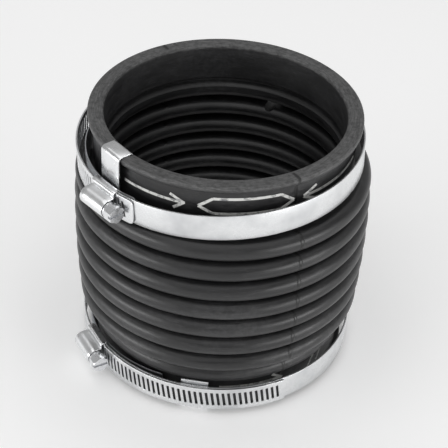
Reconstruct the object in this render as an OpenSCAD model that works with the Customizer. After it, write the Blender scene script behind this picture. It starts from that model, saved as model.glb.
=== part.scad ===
/* [Rubber bellows] */
// Bore of both cuffs, radius
bore_r = 53.2; // [44:0.1:66]
// Rubber thickness of each cuff under its clamp
cuff_wall = 4.8; // [4.2:0.1:7]
// How far the end bead stands out past the cuff
bead_step = 2.2; // [1.6:0.1:2.4]
// Height of the end bead
bead_h = 3; // [2.4:0.1:3.6]
// Height of each cuff, end face to first fold
cuff_h = 25; // [24:0.5:34]
// Distance from one fold to the next
pitch = 10.5; // [9:0.1:13]
// How far the widest fold stands out past the cuff
fold_rise = 9; // [8:0.1:12]
// How much narrower the end folds are than the widest one
barrel = 1.6; // [0:0.1:2]
// Rubber thickness of the folds
fold_wall = 3; // [2.4:0.1:3.2]
// Radius of the narrow valley between two folds
valley_r = 0.75; // [0.5:0.05:1]
// How far the inner ribs stand into the bore
rib_step = 0.2; // [0.1:0.1:1]
// Depth of the round groove between the bore and the first rib
socket_groove = 1.5; // [0.5:0.1:1.8]
// Rounding of the end faces
edge_r = 1.5; // [0.8:0.1:2]
// How far the half fold above the lower clamp stands out past the cuff
shoulder_step = 3; // [2:0.1:3.5]

/* [Drain hole] */
// Radius of the hole through the top fold
drain_r = 3; // [1:0.1:3.2]
// Where the hole sits, turned from the front
drain_bearing = 158; // [90:1:250]

/* [Clamps] */
// Width of the steel strip
band_w = 12; // [9:0.1:12]
// Thickness of the steel strip
band_t = 0.8; // [0.6:0.05:0.9]
// Gap all round between cuff and strip, as loosely fitted
band_slack = 4.4; // [4.2:0.1:5]
// Gap between the two layers of strip
layer_gap = 0.3; // [0.25:0.05:0.4]
// Screw housing bearing of the upper clamp
upper_bearing = -48; // [-60:1:-40]
// Screw housing bearing of the lower clamp
lower_bearing = -60; // [-100:1:-50]
// How far the upper strip end comes past its housing, degrees
upper_past = 15; // [12:1:60]
// How far the lower strip end comes past its housing, degrees
lower_past = 91; // [12:1:110]
// How far the upper ring hangs to the left of the cuff axis
upper_shift = 1.2; // [0:0.1:1.4]
// How far the upper ring leans, its right side up
upper_tilt = 2.4; // [0:0.1:2.6]
// How deep the upper clamp presses its seat into the top fold
upper_press = 1.7; // [0:0.1:1.8]
// Height of the lower ring above the end bead
lower_lift = 0.4; // [0.4:0.1:1.2]

/* [Strip slots] */
// Distance from slot to slot, one turn of the screw
slot_pitch = 2.5; // [2.2:0.1:3]
// Width of a slot
slot_w = 1.2; // [0.8:0.1:1.4]
// Length of a slot across the strip
slot_l = 7.6; // [5:0.1:8]
// Lean of the slots, to suit the worm
slot_lean = 8; // [0:1:12]
// How far the slots run back behind the housing, degrees
slots_back = 60; // [30:1:90]

/* [Housing and screw] */
// Outer radius of the worm
worm_r = 3.2; // [2.8:0.1:3.6]
// Length of the housing
house_l = 15; // [13:0.5:18]
// Wall of the housing
house_wall = 0.6; // [0.5:0.1:0.9]
// Radius of the plain journals of the screw
journal_r = 2.2; // [1.8:0.1:2.4]
// Running clearance of screw and journals
run_gap = 0.1; // [0.05:0.01:0.1]
// Hex across flats
hex_af = 7; // [6:0.1:7.4]
// Height of the hex head
hex_h = 4.5; // [3:0.1:6]
// Width of the screwdriver slot
driver_w = 1.2; // [0.8:0.1:1.6]

/* [Liners and clips] */
// Thickness of the liner under the housing
liner_t = 0.6; // [0.4:0.05:0.7]
// Start and end of the upper liner, from its housing
upper_liner = [-45, 14]; // [-60:1:60]
// Start and end of the lower liner, from its housing
lower_liner = [-27, 37]; // [-60:1:60]
// Width of each clip
clip_w = 12.5; // [10:0.1:14]
// Thickness of the clip strip
clip_t = 0.8; // [0.6:0.05:0.8]
// Length of the outer leg of a clip
clip_leg = 17; // [12:0.5:17]
// Length of the inner leg of a clip
clip_lip = 6; // [4:0.5:9]
// Inside bend radius of a clip
clip_bend = 1.2; // [0.6:0.1:1.4]
// Where the upper clip sits, turned from the front
upper_clip_bearing = -50; // [-56:1:-44]
// Where the lower clip sits, turned from the front
lower_clip_bearing = -8; // [-15:1:10]

/* [Hidden] */
$fn = 96;
eps = 0.01;
clip_lift = 0.05;    // keeps the lower clip just off the ground
fit_gap = 0.3;      // room kept between pieces that move past each other
lay_gap = 0.1;      // room between pieces that lie on each other
folds = 7;

cuff_r = bore_r + cuff_wall;
bead_r = cuff_r + bead_step;
lobe_r = cuff_r + fold_rise;
shoulder_r = cuff_r + shoulder_step;
socket_r = 3;        // radius of the groove between the bore and the first rib
rib_in = bore_r - rib_step;
total_h = 2 * cuff_h + folds * pitch;
lobe_round = pitch / 2 - valley_r;
groove_r = lobe_round - fold_wall;
rib_round = pitch / 2 - groove_r;
valley_floor = rib_in + fold_wall;
widest = (folds + 2) / 2;
spread = folds / 2;
bead_round = clip_bend - 0.2;    // rounding of the bead's edges, which the bend of a clip has to clear
cuff_round = 0.8;    // rounding of the cuff's outer corner next to the folds
shoulder_round = 4.5;
shoulder_z = cuff_h - valley_r - shoulder_round;

ring_in = cuff_r + band_slack;
ring_out = ring_in + band_t;
tail_in = ring_out + layer_gap;
tail_out = tail_in + band_t;
wander = (tail_in - ring_in) / 2;   // the strip moves out one layer over half a turn
channel_r = tail_out + fit_gap;
screw_at = tail_out + fit_gap + worm_r;
house_room = 0.2;    // extra room round the worm thread
house_in = worm_r + run_gap + house_room;
house_out = house_in + house_wall;
end_wall = 1.4;
worm_l = house_l - 2 * end_wall - 2 * fit_gap;
worm_core = 0.72 * worm_r;
thread_off = 0.16 * worm_r;
side_room = 0.15;
house_half = band_w / 2 + side_room + house_wall;
saddle_t = 0.6;
saddle_out = ring_in - lay_gap;
liner_out = saddle_out - saddle_t - lay_gap;
liner_lean = 7.5;    // shift of the liner arc, so that its ends fall onto the cuff
collar_r = 3.6;
collar_t = 1;
slot_first = 4;      // plain strip left ahead of the first slot, degrees
tip_chamfer = 3;
tip_shear = 0.4;
fix_overlap = 1;     // how far the head end of the strip reaches under the housing end
saddle_short = 0.6;  // how far the saddle ends inside the housing
liner_w = band_w - 1;
hex_cone = 0.48;     // size of the bevelled hex face, against the distance across flats
clip_inner = bore_r + lay_gap + clip_t;    // rubber side of the inner leg, flush in its pocket
clip_outer = bead_r + fit_gap;
notch_h = clip_lift + clip_t + fit_gap;    // depth of the notch in the lower end face

// lowest point of the leaning ring, pressed into the crest of the top fold
upper_z = total_h - cuff_h - valley_r - upper_press + house_half
    + (ring_out + upper_shift) * sin(upper_tilt);
lower_z = bead_h + lower_lift + band_w / 2;

function lobe_of(i) = lobe_r - barrel * pow((i - widest) / spread, 2);
function fold_z(i) = cuff_h + (i - 0.5) * pitch;
function deg_of(len, r) = len / r * 180 / PI;

// a strip bent round the Z axis between two bearings
module arc_strip(r_in, t, h, a0, a1) {
    rotate([0, 0, a0 - 90])
        rotate_extrude(angle = a1 - a0)
            translate([r_in, -h / 2]) square([t, h]);
}

module at_bearing(a, r) {
    rotate([0, 0, a]) translate([0, -r, 0]) children();
}

// section shared by every fold: material between two valley planes
module valley_cut(z) {
    translate([valley_floor + valley_r, z]) circle(valley_r);
    translate([valley_floor + valley_r, z - valley_r]) square([lobe_r, 2 * valley_r]);
}

module fold_section(r_lobe, z) {
    intersection() {
        difference() {
            union() {
                translate([rib_in + rib_round, z - pitch / 2])
                    square([r_lobe - lobe_round - rib_in - rib_round, pitch]);
                translate([r_lobe - lobe_round, z]) circle(lobe_round);
                for (s = [-1, 1])
                    translate([rib_in + rib_round, z + s * pitch / 2]) circle(rib_round);
            }
            for (s = [-1, 1]) valley_cut(z + s * pitch / 2);
            translate([r_lobe - lobe_round, z]) circle(groove_r);
            translate([0, z - groove_r]) square([r_lobe - lobe_round, 2 * groove_r]);
        }
        translate([0, z - pitch / 2]) square([2 * lobe_r, pitch]);
    }
}

module convolution(i) {
    color([0.09, 0.09, 0.1])
    difference() {
        rotate_extrude() fold_section(lobe_of(i), fold_z(i));
        if (i == folds)
            rotate([0, 0, drain_bearing]) translate([0, -rib_in + 2, fold_z(i)])
                rotate([90, 0, 0]) cylinder(r = drain_r, h = lobe_r);
        if (i == folds) upper_seat();
    }
}

// room that the leaning clamp presses into the top fold, one step for the strip and one for the housing
module upper_seat() {
    translate([-upper_shift, 0, upper_z]) rotate([0, -upper_tilt, 0]) {
        arc_ring(cuff_r - fit_gap, -band_w / 2 - fit_gap);
        arc_ring(saddle_out - saddle_t - fit_gap, -house_half - fit_gap);
    }
}

// everything outside radius r and above height z
module arc_ring(r, z) {
    rotate_extrude() translate([r, z]) square([lobe_r, band_w]);
}

// plain cuff with its end bead at z = 0 and its first fold at z = cuff_h
module cuff_section() {
    difference() {
        union() {
            translate([bore_r + edge_r, 0]) square([cuff_r - cuff_round - bore_r - edge_r, cuff_h]);
            translate([bore_r, edge_r]) square([edge_r + eps, cuff_h - edge_r]);
            translate([bore_r + edge_r, edge_r]) circle(edge_r);
            translate([cuff_r - cuff_round - eps, 0])
                square([cuff_round + eps, cuff_h - valley_r - cuff_round]);
            translate([cuff_r - cuff_round, cuff_h - valley_r - cuff_round]) circle(cuff_round);
            translate([cuff_r - eps, 0]) square([bead_step - bead_round + eps, bead_h]);
            translate([cuff_r - eps, bead_round]) square([bead_step + eps, bead_h - 2 * bead_round]);
            for (z = [bead_round, bead_h - bead_round])
                translate([bead_r - bead_round, z]) circle(bead_round);
            // the half rib next to the first fold, kept inside the cuff
            intersection() {
                translate([rib_in + rib_round, cuff_h]) circle(rib_round);
                square([cuff_r - cuff_round, 2 * cuff_h]);
            }
        }
        translate([0, cuff_h]) square([2 * lobe_r, cuff_h]);
        translate([bore_r + socket_groove - socket_r, cuff_h - pitch / 2]) circle(socket_r);
        valley_cut(cuff_h);
    }
}

module lower_cuff() {
    color([0.09, 0.09, 0.1])
    difference() {
        rotate_extrude() {
            cuff_section();
            difference() {
                translate([shoulder_r - shoulder_round, shoulder_z]) circle(shoulder_round);
                square([cuff_r - edge_r, 2 * cuff_h]);
            }
        }
        // the notch keeps the clip off the ground
        rotate([0, 0, lower_clip_bearing]) clip_room(notch_h);
    }
}

// room for a clip, as one cut across its width: a flat pocket in the bore for the inner leg,
// reliefs for the inside of its bends and, where asked for, a notch across the end face
module clip_room(notch) {
    reach = clip_w / 2 + fit_gap;
    rotate([90, 0, 90]) translate([0, 0, -reach]) linear_extrude(height = 2 * reach) {
        translate([-clip_inner - fit_gap, -1])
            square([clip_inner - bore_r + 3, 1 + clip_lip + 2 * fit_gap]);
        translate([-clip_inner - fit_gap, notch])
            rotate(45) square(clip_bend * sqrt(2), center = true);
        if (notch > 0) {
            translate([-bead_r - 1, -1]) square([cuff_wall + bead_step + 2, 1 + notch]);
            translate([-clip_outer, notch]) rotate(45) square(clip_bend * sqrt(2), center = true);
        }
    }
}

module upper_cuff() {
    color([0.09, 0.09, 0.1])
    translate([0, 0, total_h]) mirror([0, 0, 1])
        difference() {
            rotate_extrude() cuff_section();
            rotate([0, 0, upper_clip_bearing]) clip_room(0);
        }
}

// head end of the strip: fixed to the housing, runs forward to the back of the ring
module band() {
    color([0.78, 0.79, 0.8])
    arc_strip(ring_in, band_t, band_w, -deg_of(house_l / 2 - fix_overlap, ring_in), 180);
}

// free end of the strip: from the back of the ring through the housing and past it
module tail(past) {
    step = deg_of(slot_pitch, tail_in);
    ahead = floor((past - slot_first) / step - 0.5);
    behind = floor(slots_back / step - 0.5);
    color([0.74, 0.75, 0.77])
    difference() {
        union() {
            translate([0, -wander, 0])
                arc_strip(ring_in + wander, band_t, band_w, -180, 0);
            arc_strip(tail_in, band_t, band_w, 0, past);
        }
        for (k = [-behind : ahead])
            at_bearing((k + 0.5) * step, tail_in)
                rotate([0, slot_lean, 0])
                    cube([slot_w, 4 * band_t, slot_l], center = true);
        for (s = [-1, 1])
            at_bearing(past, tail_in) translate([0, 0, s * band_w / 2])
                rotate([0, 45, 0]) cube([tip_chamfer, 6 * band_t, tip_chamfer], center = true);
        // end of the strip sheared off square
        at_bearing(past, tail_in) translate([tip_shear, 0, 0])
            cube([3 * tip_shear, 6 * band_t, 2 * band_w], center = true);
    }
}

module housing() {
    half = deg_of(house_l / 2, ring_in);
    color([0.82, 0.83, 0.84])
    difference() {
        union() {
            arc_strip(saddle_out - saddle_t, screw_at - saddle_out, 2 * house_half, -half, half);
            at_bearing(0, screw_at) rotate([0, 90, 0])
                cylinder(r = house_out, h = house_l, center = true);
        }
        // channel for the two layers of strip and the saddle
        arc_strip(saddle_out - 2 * saddle_t, channel_r - saddle_out + 2 * saddle_t,
                  band_w + 2 * side_room, -2 * half, 2 * half);
        // shoulders drop away from the dome
        for (s = [-1, 1]) translate([0, 0, s * (house_out + house_half)])
            arc_strip(channel_r + house_wall, 10, 2 * house_half, -2 * half, 2 * half);
        at_bearing(0, screw_at) rotate([0, 90, 0]) {
            cylinder(r = house_in, h = house_l - 2 * end_wall, center = true);
            cylinder(r = journal_r + run_gap, h = house_l + 2, center = true);
        }
        // ends cut square to the screw
        for (s = [-1, 1])
            at_bearing(0, screw_at) translate([s * (house_l / 2 + 5), 0, 0])
                cube([10, 30, 30], center = true);
    }
}

module saddle() {
    half = deg_of(house_l / 2 - saddle_short, ring_in);
    color([0.8, 0.81, 0.82])
    arc_strip(saddle_out - saddle_t, saddle_t, band_w + side_room, -half, half);
}

module screw() {
    color([0.85, 0.86, 0.87])
    at_bearing(0, screw_at) rotate([0, 90, 0])
    difference() {
        union() {
            cylinder(r = worm_core, h = worm_l, center = true);
            translate([0, 0, -worm_l / 2])
                linear_extrude(height = worm_l, twist = -360 * worm_l / slot_pitch, slices = 72, $fn = 12)
                    translate([thread_off, 0]) circle(r = worm_r - thread_off);
            translate([0, 0, -house_l / 2]) cylinder(r = journal_r, h = house_l);
            translate([0, 0, house_l / 2 + fit_gap]) cylinder(r = collar_r, h = collar_t);
            translate([0, 0, house_l / 2 - eps]) cylinder(r = journal_r, h = fit_gap + 2 * eps);
            intersection() {
                translate([0, 0, house_l / 2 + fit_gap + collar_t - eps])
                    cylinder(r = hex_af / sqrt(3), h = hex_h, $fn = 6);
                translate([0, 0, house_l / 2])
                    cylinder(r1 = hex_af, r2 = hex_af * hex_cone, h = hex_h + 2);
            }
        }
        translate([0, 0, house_l / 2 + fit_gap + collar_t + hex_h])
            cube([driver_w, 2 * hex_af, 3], center = true);
    }
}

module liner(span) {
    r = liner_out - liner_t - liner_lean;
    grow = liner_out / (r + liner_t);
    color([0.7, 0.71, 0.73])
    translate([0, -liner_lean, 0])
        arc_strip(r, liner_t, liner_w, span[0] * grow, span[1] * grow);
}

// flat-bottomed slab with its two lower corners rounded
module slab(x0, x1, r, h) {
    translate([x0 + r, 0]) square([x1 - x0 - 2 * r, h]);
    translate([x0, r]) square([x1 - x0, h - r]);
    for (x = [x0 + r, x1 - r]) translate([x, r]) circle(r);
}

// clip hooked over an end face at z = 0, legs running up
module clip() {
    color([0.86, 0.87, 0.88])
    rotate([90, 0, 90])
        translate([0, 0, -clip_w / 2]) linear_extrude(height = clip_w)
            difference() {
                slab(-clip_outer - clip_t, -clip_inner + clip_t, clip_bend + clip_t, clip_leg);
                translate([0, clip_t]) slab(-clip_outer, -clip_inner, clip_bend, clip_leg);
                // the inner leg is the shorter one
                translate([-clip_inner - eps, clip_lip]) square([2 * clip_t, clip_leg]);
            }
}

module on_upper_ring() {
    translate([-upper_shift, 0, upper_z]) rotate([0, -upper_tilt, 0])
        rotate([0, 0, upper_bearing]) children();
}

module on_lower_ring() {
    translate([0, 0, lower_z]) rotate([0, 0, lower_bearing]) children();
}

module upper_clip() {
    translate([0, 0, total_h + clip_t]) mirror([0, 0, 1])
        rotate([0, 0, upper_clip_bearing]) clip();
}

module lower_clip() {
    translate([0, 0, clip_lift]) rotate([0, 0, lower_clip_bearing]) clip();
}

lower_cuff();
convolution(1);  // convolution_1
convolution(2);  // convolution_2
convolution(3);  // convolution_3
convolution(4);  // convolution_4
convolution(5);  // convolution_5
convolution(6);  // convolution_6
convolution(7);  // convolution_7
upper_cuff();
on_upper_ring() band();  // upper_clamp_band
on_upper_ring() tail(upper_past);  // upper_clamp_tail
on_upper_ring() housing();  // upper_clamp_housing
on_upper_ring() saddle();  // upper_clamp_saddle
on_upper_ring() screw();  // upper_clamp_screw
on_upper_ring() liner(upper_liner);  // upper_clamp_liner
on_lower_ring() band();  // lower_clamp_band
on_lower_ring() tail(lower_past);  // lower_clamp_tail
on_lower_ring() housing();  // lower_clamp_housing
on_lower_ring() saddle();  // lower_clamp_saddle
on_lower_ring() screw();  // lower_clamp_screw
on_lower_ring() liner(lower_liner);  // lower_clamp_liner
upper_clip();
lower_clip();
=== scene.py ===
import bpy
import math
from mathutils import Matrix, Vector


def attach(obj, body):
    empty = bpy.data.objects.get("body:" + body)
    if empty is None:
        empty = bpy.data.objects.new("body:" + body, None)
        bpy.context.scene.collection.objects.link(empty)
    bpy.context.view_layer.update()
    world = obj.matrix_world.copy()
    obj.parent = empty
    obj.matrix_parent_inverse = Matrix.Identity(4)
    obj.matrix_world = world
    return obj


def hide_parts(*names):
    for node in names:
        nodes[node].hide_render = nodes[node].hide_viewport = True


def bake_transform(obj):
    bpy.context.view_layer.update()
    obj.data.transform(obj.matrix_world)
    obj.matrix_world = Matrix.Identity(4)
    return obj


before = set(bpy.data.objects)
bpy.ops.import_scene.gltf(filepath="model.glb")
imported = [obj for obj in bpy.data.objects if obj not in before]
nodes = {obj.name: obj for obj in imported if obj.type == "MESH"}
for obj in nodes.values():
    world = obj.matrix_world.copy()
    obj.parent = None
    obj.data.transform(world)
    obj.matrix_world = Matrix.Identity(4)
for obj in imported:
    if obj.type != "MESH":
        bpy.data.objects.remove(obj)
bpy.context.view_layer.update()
mm = 0.001

# ---- small helpers ----


def clearSelection():
    if bpy.context.object and bpy.context.object.mode != "OBJECT":
        bpy.ops.object.mode_set(mode="OBJECT")
    bpy.ops.object.select_all(action="DESELECT")


def pickOnly(piece):
    clearSelection()
    piece.select_set(True)
    bpy.context.view_layer.objects.active = piece


def applyModifiers(piece):
    pickOnly(piece)
    for modifier in list(piece.modifiers):
        bpy.ops.object.modifier_apply(modifier=modifier.name)


def joinPieces(main, others):
    clearSelection()
    for other in others:
        other.select_set(True)
    main.select_set(True)
    bpy.context.view_layer.objects.active = main
    bpy.ops.object.join()
    return bpy.context.object


def hexColour(code):
    values = [int(code[i:i + 2], 16) / 255 for i in (0, 2, 4)]
    linear = [v / 12.92 if v <= 0.04045 else ((v + 0.055) / 1.055) ** 2.4 for v in values]
    return (*linear, 1.0)


def cleanMesh(piece, angle=35):
    pickOnly(piece)
    bpy.ops.object.mode_set(mode="EDIT")
    bpy.ops.mesh.select_all(action="SELECT")
    bpy.ops.mesh.remove_doubles(threshold=0.000004)
    bpy.ops.mesh.normals_make_consistent(inside=False)
    bpy.ops.object.mode_set(mode="OBJECT")
    bpy.ops.object.shade_smooth_by_angle(angle=math.radians(angle))


def arcPoints(cr, cz, radius, start, end, count):
    points = []
    for i in range(count + 1):
        a = math.radians(start + (end - start) * i / count)
        points.append((cr + radius * math.cos(a), cz + radius * math.sin(a)))
    return points


# one vertex walked along the outline, in the plane y = 0
def drawOutline(name, outline):
    clearSelection()
    bpy.ops.mesh.primitive_plane_add(size=mm)
    piece = bpy.context.object
    piece.name = name
    bpy.ops.object.mode_set(mode="EDIT")
    bpy.ops.mesh.select_all(action="SELECT")
    bpy.ops.mesh.merge(type="CENTER")
    bpy.ops.transform.translate(value=(outline[0][0] * mm, 0, outline[0][1] * mm))
    for (r0, z0), (r1, z1) in zip(outline, outline[1:]):
        if abs(r1 - r0) + abs(z1 - z0) > 1e-5:
            step = ((r1 - r0) * mm, 0, (z1 - z0) * mm)
            bpy.ops.mesh.extrude_region_move(TRANSFORM_OT_translate={"value": step})
    return piece


def spinOutline(name, outline, steps=176, angle=35):
    piece = drawOutline(name, outline + outline[:1])
    bpy.ops.mesh.select_all(action="SELECT")
    bpy.ops.mesh.remove_doubles(threshold=0.000002)
    bpy.ops.mesh.select_all(action="SELECT")
    bpy.ops.mesh.spin(steps=steps, angle=math.tau, center=(0, 0, 0), axis=(0, 0, 1))
    cleanMesh(piece, angle)
    return piece


def setMaterial(piece, material):
    piece.data.materials.clear()
    piece.data.materials.append(material)


# ---- materials ----


def addNode(tree, kind, settings=None, links=None):
    node = tree.nodes.new(kind)
    for key, value in (settings or {}).items():
        if isinstance(key, str) and hasattr(node, key):
            setattr(node, key, value)
        else:
            node.inputs[key].default_value = value
    for key, source in (links or {}).items():
        tree.links.new(source, node.inputs[key])
    return node


def newMaterial(name):
    material = bpy.data.materials.new(name)
    material.use_nodes = True
    tree = material.node_tree
    tree.nodes.clear()
    surface = addNode(tree, "ShaderNodeBsdfPrincipled")
    output = addNode(tree, "ShaderNodeOutputMaterial")
    tree.links.new(surface.outputs["BSDF"], output.inputs["Surface"])
    return material, tree, surface


def maths(tree, operation, first, second=None, third=None):
    node = tree.nodes.new("ShaderNodeMath")
    node.operation = operation
    for socket, value in zip(node.inputs, (first, second, third)):
        if value is None:
            continue
        if isinstance(value, (int, float)):
            socket.default_value = value
        else:
            tree.links.new(value, socket)
    return node.outputs[0]


# object position as bearing from the front, radius and height, in millimetres
def roundCoordinates(tree):
    place = addNode(tree, "ShaderNodeTexCoord")
    split = addNode(tree, "ShaderNodeSeparateXYZ", links={0: place.outputs["Object"]})
    x, y, z = split.outputs
    bearing = maths(tree, "ARCTAN2", x, maths(tree, "MULTIPLY", y, -1.0))
    radius = maths(tree, "SQRT", maths(tree, "ADD", maths(tree, "MULTIPLY", x, x), maths(tree, "MULTIPLY", y, y)))
    return {
        "object": place.outputs["Object"],
        "bearing": bearing,
        "radius": maths(tree, "MULTIPLY", radius, 1000.0),
        "height": maths(tree, "MULTIPLY", z, 1000.0),
        "x": maths(tree, "MULTIPLY", x, 1000.0),
        "y": maths(tree, "MULTIPLY", y, 1000.0),
    }


def noise(tree, vector, scale, detail=3.0, roughness=0.5, distortion=0.0):
    node = addNode(tree, "ShaderNodeTexNoise", {"Scale": scale, "Detail": detail, "Roughness": roughness, "Distortion": distortion},
                   {"Vector": vector})
    return node.outputs["Fac"]


def remap(tree, value, low, high, newLow, newHigh, kind="LINEAR"):
    node = addNode(tree, "ShaderNodeMapRange", {"interpolation_type": kind, 1: low, 2: high, 3: newLow, 4: newHigh}, {0: value})
    return node.outputs[0]


def mixColour(tree, factor, first, second):
    node = addNode(tree, "ShaderNodeMix", {"data_type": "RGBA"})
    tree.links.new(factor, node.inputs[0])
    for index, value in ((6, first), (7, second)):
        if isinstance(value, tuple):
            node.inputs[index].default_value = value
        else:
            tree.links.new(value, node.inputs[index])
    return node.outputs[2]


# black rubber as it leaves a split mould: a satin skin with flow streaks round the sleeve,
# so the eye sees broad soft highlights and a thin flash line where the halves met
def mouldedRubber():
    look = {
        "skin": hexColour("161617"),
        "pale": hexColour("29292a"),
        "dust": hexColour("4e4e4f"),
        "flash": hexColour("111111"),
        "scuff": hexColour("6a6a6a"),
        "seamBearing": math.radians(31),
        "seamWidth": 0.35,
        "foldsTop": 98.0,
        "rimTop": 122.6,
    }
    material, tree, surface = newMaterial("mouldedRubberSatin")
    at = roundCoordinates(tree)
    streakPlace = addNode(tree, "ShaderNodeCombineXYZ", links={0: maths(tree, "MULTIPLY", at["bearing"], 6.0), 1: at["radius"], 2: at["height"]})
    streak = noise(tree, streakPlace.outputs[0], 0.55, 4.0, 0.6)
    scratch = noise(tree, streakPlace.outputs[0], 2.4, 4.0, 0.7)
    cloud = noise(tree, at["object"], 28.0, 3.0, 0.5)
    grain = noise(tree, at["object"], 1900.0, 2.0, 0.6)
    speckle = noise(tree, at["object"], 420.0, 3.0, 0.65)
    # the two flash lines stand opposite each other, and wander a little
    wander = maths(tree, "MULTIPLY", maths(tree, "SUBTRACT", noise(tree, at["object"], 90.0), 0.5), 0.05)
    turned = maths(tree, "ADD", maths(tree, "SUBTRACT", at["bearing"], look["seamBearing"]), wander)
    offSeam = maths(tree, "MULTIPLY", maths(tree, "ABSOLUTE", maths(tree, "SINE", turned)), at["radius"])
    outside = remap(tree, at["radius"], 54.6, 55.4, 0.0, 1.0)
    seam = maths(tree, "MULTIPLY", remap(tree, offSeam, look["seamWidth"], look["seamWidth"] * 3, 1.0, 0.0, "SMOOTHSTEP"), outside)
    # the trimmed end face is paler, scuffed and dull
    rim = remap(tree, at["height"], look["rimTop"] - 1.4, look["rimTop"], 0.0, 1.0, "SMOOTHSTEP")
    scuff = maths(tree, "MULTIPLY", rim, maths(tree, "MULTIPLY", remap(tree, scratch, 0.35, 0.65, 0.2, 1.0), remap(tree, speckle, 0.35, 0.55, 0.5, 1.0)))
    inside = remap(tree, at["radius"], 53.4, 54.0, 1.0, 0.0)
    bore = maths(tree, "MULTIPLY", inside, remap(tree, at["height"], look["foldsTop"], look["foldsTop"] + 4, 0.0, 1.0))
    colour = mixColour(tree, remap(tree, streak, 0.35, 0.7, 0.0, 0.75), look["skin"], look["pale"])
    colour = mixColour(tree, maths(tree, "MULTIPLY", remap(tree, scratch, 0.52, 0.72, 0.0, 0.6), remap(tree, cloud, 0.35, 0.6, 0.2, 1.0)), colour, look["dust"])
    colour = mixColour(tree, maths(tree, "MULTIPLY", remap(tree, cloud, 0.45, 0.75, 0.0, 0.5), remap(tree, speckle, 0.4, 0.6, 0.3, 1.0)), colour, look["dust"])
    colour = mixColour(tree, maths(tree, "MULTIPLY", scuff, 0.9), colour, look["scuff"])
    colour = mixColour(tree, maths(tree, "MULTIPLY", seam, 0.9), colour, look["flash"])
    tree.links.new(colour, surface.inputs["Base Color"])
    rough = remap(tree, streak, 0.3, 0.7, 0.28, 0.44)
    rough = maths(tree, "ADD", rough, remap(tree, scratch, 0.4, 0.7, 0.0, 0.12))
    rough = maths(tree, "ADD", rough, maths(tree, "MULTIPLY", maths(tree, "MAXIMUM", rim, bore), 0.2))
    rough = maths(tree, "ADD", rough, remap(tree, grain, 0.3, 0.7, -0.03, 0.03))
    tree.links.new(rough, surface.inputs["Roughness"])
    height = maths(tree, "MULTIPLY", grain, 0.012)
    height = maths(tree, "ADD", height, maths(tree, "MULTIPLY", speckle, maths(tree, "ADD", maths(tree, "MULTIPLY", rim, 0.12), 0.02)))
    height = maths(tree, "ADD", height, maths(tree, "MULTIPLY", streak, 0.03))
    height = maths(tree, "ADD", height, maths(tree, "MULTIPLY", scratch, maths(tree, "ADD", maths(tree, "MULTIPLY", rim, 0.1), 0.02)))
    height = maths(tree, "ADD", height, maths(tree, "MULTIPLY", seam, 0.22))
    bump = addNode(tree, "ShaderNodeBump", {"Strength": 0.8, "Distance": mm}, {"Height": height})
    tree.links.new(bump.outputs[0], surface.inputs["Normal"])
    surface.inputs["IOR"].default_value = 1.52
    return material


# stainless strip, cold rolled and slit: bright, with fine rolling lines along its length
def rolledStainless(name, shade, roughness, lines=1.0, covered=None):
    look = {"clean": hexColour(shade), "wearAndHollowShade": hexColour("a9abae"), "paintedSlotShade": hexColour("3a3a3c"), "lineScale": 9.0, "smudgeScale": 60.0}
    material, tree, surface = newMaterial(name)
    at = roundCoordinates(tree)
    linePlace = addNode(tree, "ShaderNodeCombineXYZ", links={0: maths(tree, "MULTIPLY", at["bearing"], 4.0), 1: maths(tree, "MULTIPLY", at["radius"], 0.4), 2: at["height"]})
    rolled = noise(tree, linePlace.outputs[0], look["lineScale"], 5.0, 0.7)
    smudge = noise(tree, at["object"], look["smudgeScale"], 3.0, 0.55)
    colour = mixColour(tree, remap(tree, smudge, 0.45, 0.8, 0.0, 0.6), look["clean"], look["wearAndHollowShade"])
    rough = maths(tree, "ADD", remap(tree, rolled, 0.3, 0.7, roughness - 0.05, roughness + 0.07), remap(tree, smudge, 0.4, 0.7, 0.0, 0.08))
    if covered:
        # painted shade: the strip under the free end is darkened so its slots read dark, and it is rougher there
        low, high, middle, lean = covered
        offLine = maths(tree, "ADD", maths(tree, "SUBTRACT", at["height"], middle), maths(tree, "MULTIPLY", at["x"], lean))
        paintedSlotShade = remap(tree, maths(tree, "ABSOLUTE", offLine), 4.2, 4.8, 1.0, 0.0)
        paintedSlotShade = maths(tree, "MULTIPLY", paintedSlotShade, remap(tree, at["bearing"], math.radians(low), math.radians(low + 1), 0.0, 1.0))
        paintedSlotShade = maths(tree, "MULTIPLY", paintedSlotShade, remap(tree, at["bearing"], math.radians(high), math.radians(high + 1), 1.0, 0.0))
        colour = mixColour(tree, maths(tree, "MULTIPLY", paintedSlotShade, 0.93), colour, look["paintedSlotShade"])
        rough = maths(tree, "ADD", rough, maths(tree, "MULTIPLY", paintedSlotShade, 0.35))
    tree.links.new(colour, surface.inputs["Base Color"])
    tree.links.new(rough, surface.inputs["Roughness"])
    bump = addNode(tree, "ShaderNodeBump", {"Strength": 0.35, "Distance": mm}, {"Height": maths(tree, "MULTIPLY", rolled, 0.02 * lines)})
    tree.links.new(bump.outputs[0], surface.inputs["Normal"])
    surface.inputs["Metallic"].default_value = 1.0
    return material


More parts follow.
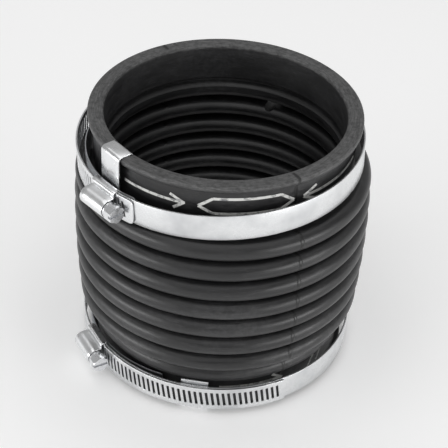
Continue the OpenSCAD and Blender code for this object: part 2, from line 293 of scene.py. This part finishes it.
# stainless pressed over a die, tumbled: small dents and a softer gleam than the strip
def pressedStainless(name, shade, roughness):
    look = {"clean": hexColour(shade), "wearAndHollowShade": hexColour("8f9194"), "dent": 240.0, "fine": 1500.0}
    material, tree, surface = newMaterial(name)
    place = addNode(tree, "ShaderNodeTexCoord").outputs["Object"]
    dents = noise(tree, place, look["dent"], 3.0, 0.5)
    fine = noise(tree, place, look["fine"], 2.0, 0.6)
    edge = addNode(tree, "ShaderNodeNewGeometry").outputs["Pointiness"]
    polish = remap(tree, edge, 0.5, 0.56, 0.0, 1.0)
    # painted shade: hollows, found by low pointiness, take the darker tone, broken up by the dents
    hollowShade = remap(tree, edge, 0.42, 0.49, 1.0, 0.0)
    colour = mixColour(tree, maths(tree, "MULTIPLY", hollowShade, remap(tree, dents, 0.4, 0.6, 0.4, 1.0)), look["clean"], look["wearAndHollowShade"])
    tree.links.new(colour, surface.inputs["Base Color"])
    rough = remap(tree, dents, 0.3, 0.7, roughness - 0.04, roughness + 0.08)
    tree.links.new(maths(tree, "SUBTRACT", rough, maths(tree, "MULTIPLY", polish, 0.08)), surface.inputs["Roughness"])
    height = maths(tree, "ADD", maths(tree, "MULTIPLY", dents, 0.05), maths(tree, "MULTIPLY", fine, 0.006))
    bump = addNode(tree, "ShaderNodeBump", {"Strength": 0.5, "Distance": mm}, {"Height": height})
    tree.links.new(bump.outputs[0], surface.inputs["Normal"])
    surface.inputs["Metallic"].default_value = 1.0
    return material


# white marking paint brushed thinly onto the rubber, so the black shows through where it is worn
def markingPaint():
    look = {"paint": hexColour("d9d9d6"), "thin": hexColour("77787a"), "brush": 500.0, "wear": 330.0}
    material, tree, surface = newMaterial("markingPaintThin")
    place = addNode(tree, "ShaderNodeTexCoord").outputs["Object"]
    wear = noise(tree, place, look["wear"], 4.0, 0.65)
    brush = noise(tree, place, look["brush"], 2.0, 0.5)
    colour = mixColour(tree, remap(tree, wear, 0.5, 0.66, 0.0, 1.0), look["paint"], look["thin"])
    tree.links.new(colour, surface.inputs["Base Color"])
    tree.links.new(remap(tree, brush, 0.3, 0.7, 0.5, 0.7), surface.inputs["Roughness"])
    bump = addNode(tree, "ShaderNodeBump", {"Strength": 0.6, "Distance": mm}, {"Height": maths(tree, "MULTIPLY", wear, 0.08)})
    tree.links.new(bump.outputs[0], surface.inputs["Normal"])
    return material


# pale seamless studio board, plain to the eye
def studioBoard():
    look = {"board": hexColour("fbfbfb"), "fibre": hexColour("f7f7f7")}
    material, tree, surface = newMaterial("studioBoardMatt")
    place = addNode(tree, "ShaderNodeTexCoord").outputs["Object"]
    fibre = noise(tree, place, 300.0, 2.0, 0.5)
    tree.links.new(mixColour(tree, fibre, look["board"], look["fibre"]), surface.inputs["Base Color"])
    surface.inputs["Roughness"].default_value = 0.9
    # lit a little from below, like a light table, so that shadows stay faint
    surface.inputs["Emission Color"].default_value = look["board"]
    surface.inputs["Emission Strength"].default_value = 0.14
    return material


rubber = mouldedRubber()
strip = rolledStainless("rolledStainlessStrip", "e9eaeb", 0.26)
# both head ends carry painted shade where the free end lies over them
headStrips = {
    "upper": rolledStainless("rolledStainlessHeadEnd", "e9eaeb", 0.26, 1.0, (-40.5, -34.8, 105.5, -0.0419)),
    "lower": rolledStainless("rolledStainlessHeadEndSlotShade", "e9eaeb", 0.26, 1.0, (-53.0, 29.5, 9.4, 0.0)),
}
tongue = rolledStainless("rolledStainlessLiner", "c9cbce", 0.32, 1.4)
pressed = pressedStainless("pressedStainlessTumbled", "ecedee", 0.32)
turned = pressedStainless("turnedStainlessBright", "e6e7e9", 0.34)
sprung = pressedStainless("sprungStainlessStrip", "ecedee", 0.3)
paint = markingPaint()
print("materials ready")

# ---- rubber sleeve ----
# one moulding, cut at the fold crests, where each length is fully on one body

sleeve = {
    "bore": 53.2, "cuff": 58.0, "bead": 60.2, "beadHeight": 3.0, "beadRound": 1.0, "edge": 1.5,
    "cuffHeight": 25.0, "pitch": 10.5, "folds": 7, "lobe": 67.0, "barrel": 1.6,
    "wall": 3.0, "valley": 0.75, "ribIn": 53.0, "shoulder": 61.0, "shoulderRound": 4.5,
    "socketDepth": 1.5, "socketRound": 3.0, "hole": 3.0, "holeBearing": 158.0,
}
pitch = sleeve["pitch"]
lobeRound = pitch / 2 - sleeve["valley"]
grooveRound = lobeRound - sleeve["wall"]
ribRound = pitch / 2 - grooveRound
valleyFloor = sleeve["ribIn"] + sleeve["wall"]
totalHeight = 2 * sleeve["cuffHeight"] + sleeve["folds"] * pitch


def lobeRadius(i):
    middle = (sleeve["folds"] + 2) / 2
    return sleeve["lobe"] - sleeve["barrel"] * ((i - middle) / (sleeve["folds"] / 2)) ** 2


# half a fold rising from its crest, or falling to it when up is -1; the short first step keeps the crest's shading even
def outerHalf(i, crest, up):
    cr = lobeRadius(i) - lobeRound
    return arcPoints(cr, crest, lobeRound, 0, 0.6 * up, 1) + arcPoints(cr, crest, lobeRound, 8 * up, 90 * up, 11)


def innerHalf(i, crest, up):
    cr = lobeRadius(i) - lobeRound
    return arcPoints(cr, crest, grooveRound, 0, 90 * up, 5)


def valleyArc(z):
    return arcPoints(valleyFloor + sleeve["valley"], z, sleeve["valley"], 270, 90, 6)


def beadPoints():
    c, r = sleeve["bead"] - sleeve["beadRound"], sleeve["beadRound"]
    points = arcPoints(c, r, r, -90, 0, 6) + arcPoints(c, sleeve["beadHeight"] - r, r, 0, 80, 6)
    return points + [(sleeve["cuff"] + 0.2, sleeve["beadHeight"]), (sleeve["cuff"], sleeve["beadHeight"] + 0.25)]


# bore side of an end at z = 0: from the crest of the first rib, past the round groove, to the end face
def boreSide():
    s = sleeve
    centre = s["ribIn"] + ribRound
    meet = math.degrees(math.acos((centre - s["bore"]) / ribRound))
    points = arcPoints(centre, s["cuffHeight"], ribRound, 90, 180 + meet, 16)
    points += arcPoints(s["bore"] + s["socketDepth"] - s["socketRound"], s["cuffHeight"] - pitch / 2, s["socketRound"], 60, -60, 12)
    return points + [(s["bore"], 13.0), (s["bore"], 7.0)]


def footEdge():
    s = sleeve
    return arcPoints(s["bore"] + s["edge"], s["edge"], s["edge"], 180, 270, 5)


# end face, bead, cuff and shoulder, from the bore edge round to the outside and back down the bore
def lowerEndOutline():
    s = sleeve
    top = s["cuffHeight"]
    points = footEdge() + beadPoints() + [(s["cuff"], 7.0), (s["cuff"], 11.0)]
    points += arcPoints(s["shoulder"] - s["shoulderRound"], top - s["valley"] - s["shoulderRound"], s["shoulderRound"], -70, 90, 16)
    points += valleyArc(top)
    points += list(reversed(outerHalf(1, top + pitch / 2, -1)))
    return points + innerHalf(1, top + pitch / 2, -1) + boreSide()


def upperEndOutline():
    s = sleeve
    bottom = totalHeight - s["cuffHeight"]
    n = s["folds"]

    def flip(points):
        return [(r, totalHeight - z) for r, z in reversed(points)]

    points = outerHalf(n, bottom - pitch / 2, 1) + valleyArc(bottom)
    points += arcPoints(s["cuff"] - 0.8, bottom + s["valley"] + 0.8, 0.8, -90, 0, 4)
    points += [(s["cuff"], bottom + 8.0), (s["cuff"], bottom + 15.0)]
    points += flip(footEdge() + beadPoints()) + flip(boreSide())
    return points + list(reversed(innerHalf(n, bottom - pitch / 2, 1)))


def middleOutline(i):
    low = sleeve["cuffHeight"] + (i - 0.5) * pitch
    high = low + pitch
    points = outerHalf(i, low, 1) + valleyArc(low + pitch / 2) + list(reversed(outerHalf(i + 1, high, -1)))
    points += innerHalf(i + 1, high, -1)
    points += arcPoints(sleeve["ribIn"] + ribRound, low + pitch / 2, ribRound, 90, 270, 22)
    points += list(reversed(innerHalf(i, low, 1)))
    return points


def cutAway(piece, cutter):
    modifier = piece.modifiers.new("cut", "BOOLEAN")
    modifier.object = cutter
    modifier.solver = "EXACT"
    applyModifiers(piece)
    bpy.data.objects.remove(cutter)


def cutHole(piece, height):
    clearSelection()
    bearing = math.radians(sleeve["holeBearing"])
    bpy.ops.mesh.primitive_cylinder_add(vertices=40, radius=sleeve["hole"] * mm, depth=20 * mm)
    cutter = bpy.context.object
    cutter.data.transform(Matrix.Translation((0.060 * math.sin(bearing), -0.060 * math.cos(bearing), height * mm))
                          @ Matrix.Rotation(bearing, 4, "Z") @ Matrix.Rotation(math.pi / 2, 4, "X"))
    cutAway(piece, cutter)


# box given by its radial, sideways and height spans at a bearing, in millimetres
def cutBox(piece, bearing, radial, width, heights, roll=0):
    clearSelection()
    bpy.ops.mesh.primitive_cube_add(size=1)
    cutter = bpy.context.object
    size = Matrix.Diagonal((width * mm, (radial[1] - radial[0]) * mm, (heights[1] - heights[0]) * mm, 1))
    middle = Vector((0, -(radial[0] + radial[1]) / 2 * mm, (heights[0] + heights[1]) / 2 * mm))
    cutter.data.transform(Matrix.Rotation(math.radians(bearing), 4, "Z") @ Matrix.Translation(middle)
                          @ Matrix.Rotation(math.radians(roll), 4, "X") @ size)
    cutAway(piece, cutter)


# the clips' inner legs have sunk into the bore, so each lies in a shallow pocket
def cutPocket(piece, bearing, end, up, rest):
    spans = sorted((end - up, end + 6.6 * up))
    cutBox(piece, bearing, (50.5, 54.4), 13.1, spans)
    bend = end + rest * up
    cutBox(piece, bearing, (53.55, 55.25), 13.1, (bend - 0.85, bend + 0.85), 45)


# the low side of the leaning clamp has pressed itself into the crest of the top fold
def pressSeat(piece):
    seat = {"height": 105.497, "slope": math.tan(math.radians(2.4)), "shift": 1.2, "strip": 6.35, "housing": 7.1}
    for vertex in piece.data.vertices:
        x, y, z = (v / mm for v in vertex.co)
        r = math.hypot(x + seat["shift"], y)
        if r > 57.4 and 90 < z < 98:
            drop = seat["housing"] if r > 61.2 else seat["strip"]
            vertex.co.z = min(z, seat["height"] + (x + seat["shift"]) * seat["slope"] - drop) * mm
    piece.data.update()


sleevePieces = []
replacedNodes = ["lower_cuff"] + ["convolution_%d" % i for i in range(1, 8)] + ["upper_cuff"]
for i in range(sleeve["folds"] + 1):
    outline = lowerEndOutline() if i == 0 else upperEndOutline() if i == sleeve["folds"] else middleOutline(i)
    piece = spinOutline("rubberSleeve_%d" % (i + 1), outline)
    if i >= sleeve["folds"] - 1:
        cutHole(piece, totalHeight - sleeve["cuffHeight"] - pitch / 2)
        cleanMesh(piece)
    if i >= sleeve["folds"] - 1:
        pressSeat(piece)
    setMaterial(piece, rubber)
    sleevePieces.append(piece)


# the lower clip also lies in a notch across the end face
cutBox(sleevePieces[0], -8, (50, 62), 13.1, (-1, 1.15))
cutPocket(sleevePieces[0], -8, 0, 1, 1.15)
cutBox(sleevePieces[0], -8, (59.65, 61.35), 13.1, (0.3, 2.0), 45)
cutPocket(sleevePieces[-1], -50, totalHeight, -1, 0)
cleanMesh(sleevePieces[0])
cleanMesh(sleevePieces[-1])
for i, piece in enumerate(sleevePieces):
    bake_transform(piece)
    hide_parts(replacedNodes[i], replacedNodes[i + 1])
print("rubber sleeve ready")

# ---- clamp strips ----

clamp = {
    "width": 12.0, "thick": 0.8, "ringIn": 62.4, "tailIn": 63.5, "wander": 0.55,
    "slotPitch": 2.5, "slotWidth": 1.2, "slotLength": 7.6, "slotLean": 8.0, "slotsBack": 60.0, "slotFirst": 4.0,
    "screwAt": 67.8, "linerIn": 53.5, "linerLean": 7.5, "linerThick": 0.6,
}
rings = {
    "upper": {"bearing": -48.0, "past": 15.0, "shift": 1.2, "tilt": 2.4, "liner": (-45, 14), "height": 105.497},
    "lower": {"bearing": -60.0, "past": 91.0, "shift": 0.0, "tilt": 0.0, "liner": (-27, 37), "height": 9.4},
}


def ringPlace(ring):
    return (Matrix.Translation((-ring["shift"] * mm, 0, ring["height"] * mm))
            @ Matrix.Rotation(math.radians(-ring["tilt"]), 4, "Y")
            @ Matrix.Rotation(math.radians(ring["bearing"]), 4, "Z"))


# lays a flat strip round a circle: x runs along it in millimetres of arc, y across it, z out of it
def wrapStrip(piece, arcRadius, centre, place=Matrix.Identity(4)):
    for vertex in piece.data.vertices:
        angle = vertex.co.x / (arcRadius * mm)
        r = arcRadius * mm + vertex.co.z
        vertex.co = place @ Vector((r * math.sin(angle), -centre * mm - r * math.cos(angle), vertex.co.y))
    piece.data.update()


def flatStrip(name, start, end, width, pieces):
    clearSelection()
    bpy.ops.mesh.primitive_grid_add(x_subdivisions=pieces, y_subdivisions=1, size=1)
    piece = bpy.context.object
    piece.name = name
    bpy.ops.object.mode_set(mode="EDIT")
    bpy.ops.mesh.select_all(action="SELECT")
    bpy.ops.transform.resize(value=((end - start) * mm, width * mm, 1))
    bpy.ops.transform.translate(value=((start + end) / 2 * mm, 0, 0))
    bpy.ops.object.mode_set(mode="OBJECT")
    return piece


def thicken(piece, thick, edge=0.14, inward=True):
    cleanMesh(piece)
    skin = piece.modifiers.new("thick", "SOLIDIFY")
    skin.thickness = thick * mm
    skin.offset = 0
    round_ = piece.modifiers.new("edge", "BEVEL")
    round_.width = edge * mm
    round_.segments = 2
    round_.limit_method = "ANGLE"
    round_.angle_limit = math.radians(40)
    round_.harden_normals = False
    applyModifiers(piece)


# one pitch of strip with its leaning slot, repeated along the free end
def slottedStrip(name, firstEdge, count):
    c = clamp
    clearSelection()
    bpy.ops.mesh.primitive_plane_add(size=1)
    piece = bpy.context.object
    piece.name = name
    bpy.ops.object.mode_set(mode="EDIT")
    bpy.ops.mesh.select_all(action="SELECT")
    bpy.ops.transform.resize(value=(c["slotPitch"] * mm, c["width"] * mm, 1))
    bpy.ops.mesh.inset(thickness=0.4 * mm, depth=0)
    inner = ((c["slotPitch"] - 0.8) * mm, (c["width"] - 0.8) * mm)
    bpy.ops.transform.resize(value=(c["slotWidth"] * mm / inner[0], c["slotLength"] * mm / inner[1], 1), center_override=(0, 0, 0))
    bpy.ops.transform.rotate(value=math.radians(-c["slotLean"]), orient_axis="Z", center_override=(0, 0, 0))
    bpy.ops.mesh.delete(type="ONLY_FACE")
    bpy.ops.mesh.select_all(action="SELECT")
    bpy.ops.transform.translate(value=((firstEdge + c["slotPitch"] / 2) * mm, 0, 0))
    bpy.ops.object.mode_set(mode="OBJECT")
    row = piece.modifiers.new("row", "ARRAY")
    row.count = count
    row.use_relative_offset = False
    row.use_constant_offset = True
    row.constant_offset_displace = (c["slotPitch"] * mm, 0, 0)
    row.use_merge_vertices = True
    row.merge_threshold = 0.00002
    applyModifiers(piece)
    return piece


def clipCorners(piece, atX, amount):
    pickOnly(piece)
    bpy.ops.object.mode_set(mode="EDIT")
    bpy.ops.mesh.select_all(action="DESELECT")
    bpy.ops.object.mode_set(mode="OBJECT")
    for vertex in piece.data.vertices:
        vertex.select = abs(vertex.co.x - atX * mm) < 0.00001
    bpy.ops.object.mode_set(mode="EDIT")
    bpy.ops.mesh.select_mode(type="VERT")
    bpy.ops.mesh.bevel(offset=amount * mm, affect="VERTICES", segments=2)
    bpy.ops.object.mode_set(mode="OBJECT")


for side, ring in rings.items():
    place = ringPlace(ring)
    c = clamp
    # head end, from the housing forward and round to the back
    ringMid = c["ringIn"] + c["thick"] / 2
    headStart = -math.radians(5.97) * ringMid
    band = flatStrip(side + "ClampBand", headStart, math.pi * ringMid, c["width"], 110)
    thicken(band, c["thick"])
    wrapStrip(band, ringMid, 0, place)
    cleanMesh(band, 50)
    setMaterial(band, headStrips[side])
    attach(band, side + "_clamp")
    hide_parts(side + "_clamp_band")

    # free end: plain from the back of the ring, slotted near the screw, clipped at its tip
    tailMid = c["tailIn"] + c["thick"] / 2
    stepAngle = math.degrees(c["slotPitch"] / c["tailIn"])
    ahead = math.floor((ring["past"] - c["slotFirst"]) / stepAngle - 0.5)
    behind = math.floor(c["slotsBack"] / stepAngle - 0.5)
    backMid = c["ringIn"] + c["wander"] + c["thick"] / 2
    # scaled so that one slot pitch covers the same angle on both arcs
    slots = slottedStrip(side + "ClampTail", -behind * c["slotPitch"], behind + ahead + 1)
    scale = math.radians(stepAngle) / c["slotPitch"]
    plainEnd = -behind * c["slotPitch"]
    plainStart = -math.pi / scale
    tipStart = (ahead + 1) * c["slotPitch"]
    tipEnd = math.radians(ring["past"]) / scale - 0.2
    plain = flatStrip("plain", plainStart, plainEnd, c["width"], 70)
    tip = flatStrip("tip", tipStart, tipEnd, c["width"], 2)
    clipCorners(tip, tipEnd, 2.0)
    tail = joinPieces(slots, [plain, tip])
    thicken(tail, c["thick"])
    for vertex in tail.data.vertices:
        angle = vertex.co.x * scale / mm
        behindHousing = angle < 0
        r = (backMid if behindHousing else tailMid) * mm + vertex.co.z
        centre = c["wander"] * mm if behindHousing else 0
        vertex.co = place @ Vector((r * math.sin(angle), -centre - r * math.cos(angle), vertex.co.y))
    tail.data.update()
    cleanMesh(tail, 50)
    setMaterial(tail, strip)
    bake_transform(tail)
    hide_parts(side + "_clamp_tail")

    # inner tongue that keeps the rubber out of the slots
    grow = 61.6 / (c["linerIn"] + c["linerThick"])
    linerMid = c["linerIn"] + c["linerThick"] / 2
    first, last = (math.radians(a) * grow * linerMid for a in ring["liner"])
    liner = flatStrip(side + "ClampLiner", first, last, c["width"] - 1, 50)
    clipCorners(liner, first, 1.5)
    clipCorners(liner, last, 1.5)
    thicken(liner, c["linerThick"], 0.1)
    wrapStrip(liner, linerMid, c["linerLean"], place)
    cleanMesh(liner, 50)
    setMaterial(liner, tongue)
    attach(liner, side + "_clamp")
    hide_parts(side + "_clamp_liner")
print("clamp strips ready")

# ---- screw housings ----

housing = {"length": 15.0, "half": 6.45, "foot": 61.95, "shoulder": 64.9, "dome": 3.8, "corner": 0.8, "sheet": 0.6,
           "fillet": 0.5, "endPlate": 1.3, "hole": 2.35, "plateOut": 3.45}


# bent sheet drawn as (radius, height) and pushed along the strip
def housingPath():
    h = housing
    side = [(h["foot"], -h["half"])]
    side += arcPoints(h["shoulder"] - h["corner"], -h["half"] + h["corner"], h["corner"], -90, 0, 4)
    side += [(h["shoulder"], -h["dome"] - h["fillet"] - 0.1)]
    side += arcPoints(h["shoulder"] + h["fillet"], -h["dome"] - h["fillet"], h["fillet"], 180, 90, 3)
    over = arcPoints(clamp["screwAt"], 0, h["dome"], -90, 90, 16)
    return side + over + [(r, -z) for r, z in reversed(side)]


for side, ring in rings.items():
    h = housing
    shell = drawOutline(side + "ClampHousing", housingPath())
    bpy.ops.mesh.select_all(action="SELECT")
    bpy.ops.transform.rotate(value=-math.pi / 2, orient_axis="Z", center_override=(0, 0, 0))
    bpy.ops.transform.translate(value=(-h["length"] / 2 * mm, 0, 0))
    for part in range(6):
        bpy.ops.mesh.extrude_region_move(TRANSFORM_OT_translate={"value": (h["length"] / 6 * mm, 0, 0)})
    bpy.ops.object.mode_set(mode="OBJECT")
    lowest = min(v.co.y for v in shell.data.vertices)
    if lowest > 0:
        shell.data.transform(Matrix.Rotation(math.pi, 4, "Z"))
    thicken(shell, h["sheet"], 0.16)
    plates = []
    for end in (-1, 1):
        # washer-shaped end plate that the journal turns in
        ringShape = [(h["hole"], 0), (h["plateOut"], 0), (h["plateOut"], h["endPlate"]), (h["hole"], h["endPlate"])]
        plate = spinOutline("endPlate", ringShape, 40)
        plate.data.transform(Matrix.Translation((end * (h["length"] / 2 - h["endPlate"] / 2 - 0.1) * mm, -clamp["screwAt"] * mm, 0))
                             @ Matrix.Rotation(math.pi / 2, 4, "Y") @ Matrix.Translation((0, 0, -h["endPlate"] / 2 * mm)))
        plates.append(plate)
    shell = joinPieces(shell, plates)
    shell.name = side + "ClampHousing"
    shell.data.transform(ringPlace(ring))
    cleanMesh(shell, 40)
    setMaterial(shell, pressed)
    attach(shell, side + "_clamp")
    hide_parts(side + "_clamp_housing")
print("housings ready")

# ---- clips over the end faces ----

clip = {"width": 12.5, "thick": 0.8, "outer": 60.5, "inner": 54.1, "bend": 1.2, "leg": 17.0, "lip": 6.0}


def clipPath():
    c = clip
    half = c["thick"] / 2
    outer, inner, bend = c["outer"] + half, c["inner"] - half, c["bend"] + half
    points = [(outer, c["leg"]), (outer, c["leg"] * 0.5), (outer, c["bend"] + c["thick"])]
    points += arcPoints(outer - bend, half + bend, bend, 0, -90, 6)
    points += arcPoints(inner + bend, half + bend, bend, 270, 180, 6)
    return points + [(inner, c["lip"])]


for side, place in (("upper", Matrix.Translation((0, 0, (totalHeight + clip["thick"]) * mm)) @ Matrix.Rotation(math.radians(-50), 4, "Z") @ Matrix.Diagonal((1, 1, -1, 1))),
                    ("lower", Matrix.Translation((0, 0, 0.05 * mm)) @ Matrix.Rotation(math.radians(-8), 4, "Z"))):
    hook = drawOutline(side + "Clip", clipPath())
    bpy.ops.mesh.select_all(action="SELECT")
    bpy.ops.transform.rotate(value=-math.pi / 2, orient_axis="Z", center_override=(0, 0, 0))
    bpy.ops.transform.translate(value=(-clip["width"] / 2 * mm, 0, 0))
    for part in range(3):
        bpy.ops.mesh.extrude_region_move(TRANSFORM_OT_translate={"value": (clip["width"] / 3 * mm, 0, 0)})
    bpy.ops.object.mode_set(mode="OBJECT")
    lowest = min(v.co.y for v in hook.data.vertices)
    if lowest > -0.05:
        hook.data.transform(Matrix.Rotation(math.pi, 4, "Z"))
    thicken(hook, clip["thick"], 0.18)
    hook.data.transform(place)
    cleanMesh(hook, 40)
    setMaterial(hook, sprung)
    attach(hook, side + "_clip")
    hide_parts(side + "_clip")
print("clips ready")

# ---- painted marks on the cuffs ----
# plain arrows and an empty lozenge, drawn flat in millimetres of arc and height

marks = {"stroke": 1.3, "lift": 0.07, "film": 0.1, "radius": 58.0}


def strokeStrip(x0, z0, x1, z1, width):
    length = math.hypot(x1 - x0, z1 - z0)
    line = flatStrip("stroke", 0, length, width, max(2, int(length / 1.5)))
    line.data.transform(Matrix.Translation((x0 * mm, z0 * mm, 0)) @ Matrix.Rotation(math.atan2(z1 - z0, x1 - x0), 4, "Z"))
    return line


def paintMark(name, body, strokes):
    lines = []
    for index, (b0, z0, b1, z1) in enumerate(strokes):
        x0, x1 = (math.radians(b) * marks["radius"] for b in (b0, b1))
        line = strokeStrip(x0, z0, x1, z1, marks["stroke"])
        skin = line.modifiers.new("film", "SOLIDIFY")
        skin.thickness = marks["film"] * mm
        skin.offset = 0
        applyModifiers(line)
        line.data.transform(Matrix.Translation((0, 0, 0.004 * index * mm)))
        lines.append(line)
    mark = joinPieces(lines[0], lines[1:]) if len(lines) > 1 else lines[0]
    mark.name = name
    wrapStrip(mark, marks["radius"] + marks["lift"], 0)
    mark.data.update()
    pickOnly(mark)
    bpy.ops.object.shade_smooth_by_angle(angle=math.radians(30))
    setMaterial(mark, paint)
    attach(mark, body)
    return mark


paintMark("paintArrowLeft", "upper_cuff", [(-44.5, 112.6, -15.5, 112.6), (-21.5, 115.6, -15.2, 112.4), (-20.0, 109.0, -15.2, 112.8)])
paintMark("paintArrowRight", "upper_cuff", [(35.5, 112.3, 73.0, 112.3), (35.2, 112.5, 41.8, 115.8), (35.2, 112.1, 41.8, 108.8)])
paintMark("paintLozenge", "upper_cuff", [(-9.5, 112.4, -3.5, 116.6), (-3.5, 116.6, 24.5, 116.6), (24.5, 116.6, 30.5, 112.4),
                                         (30.5, 112.4, 24.5, 109.2), (24.5, 109.2, -3.5, 109.2), (-3.5, 109.2, -9.5, 112.4)])
paintMark("paintArrowLow", "lower_cuff", [(2.5, 11.2, 32.0, 11.2), (27.0, 14.4, 32.2, 11.0), (27.0, 8.2, 32.2, 11.4)])
paintMark("paintTicksLow", "lower_cuff", [(48.0, 8.5, 51.5, 14.2), (54.0, 8.5, 57.5, 14.2)])
print("marks ready")

# ---- carried-over pieces ----

for side in ("upper", "lower"):
    for piece, material in ((nodes[side + "_clamp_saddle"], pressed), (nodes[side + "_clamp_screw"], turned)):
        for slotItem in piece.material_slots:
            slotItem.material = material

# ---- board, lights, camera ----

clearSelection()
bpy.ops.mesh.primitive_plane_add(size=40)
board = bpy.context.object
board.name = "studioBoard"
board.location = (0, 0, -0.0002)
setMaterial(board, studioBoard())

world = bpy.data.worlds.new("softRoom")
bpy.context.scene.world = world
world.use_nodes = True
world.node_tree.nodes["Background"].inputs[0].default_value = hexColour("ffffff")
world.node_tree.nodes["Background"].inputs[1].default_value = 0.36
bpy.context.scene.view_settings.view_transform = "Standard"


def addLamp(name, where, target, size, power):
    data = bpy.data.lights.new(name, "AREA")
    data.shape = "RECTANGLE"
    data.size, data.size_y = size
    data.energy = power
    lamp = bpy.data.objects.new(name, data)
    bpy.context.scene.collection.objects.link(lamp)
    lamp.location = where
    lamp.rotation_euler = (Vector(target) - Vector(where)).to_track_quat("-Z", "Y").to_euler()
    return lamp


addLamp("softboxTop", (0, 0.1, 1.8), (0, 0, 0.05), (2.5, 2.5), 16)
addLamp("softboxFill", (-0.3, -1.0, 1.0), (0, 0, 0.06), (1.2, 0.7), 1.4)
addLamp("softboxLeft", (-1.17, -0.57, 0.22), (0, 0, 0.06), (1.0, 0.36), 7.5)
addLamp("softboxRight", (1.08, -0.73, 0.22), (0, 0, 0.06), (1.0, 0.36), 6.5)

shot = {"distance": 0.6, "elevation": 37.0, "roll": 2.6, "target": (0, 0, 0.0685), "focal": 1304 / 448, "shift": (0.0054, -0.0357)}
lens = bpy.data.cameras.new("shotCamera")
lens.sensor_width = 36
lens.lens = 36 * shot["focal"]
lens.shift_x, lens.shift_y = shot["shift"]
lens.clip_start = 0.01
camera = bpy.data.objects.new("shotCamera", lens)
bpy.context.scene.collection.objects.link(camera)
tip = math.radians(shot["elevation"])
camera.location = Vector(shot["target"]) + shot["distance"] * Vector((0, -math.cos(tip), math.sin(tip)))
look = (Vector(shot["target"]) - camera.location).to_track_quat("-Z", "Y").to_matrix().to_4x4()
camera.rotation_euler = (look @ Matrix.Rotation(math.radians(shot["roll"]), 4, "Z")).to_euler()
bpy.context.scene.camera = camera

print("scene ready")
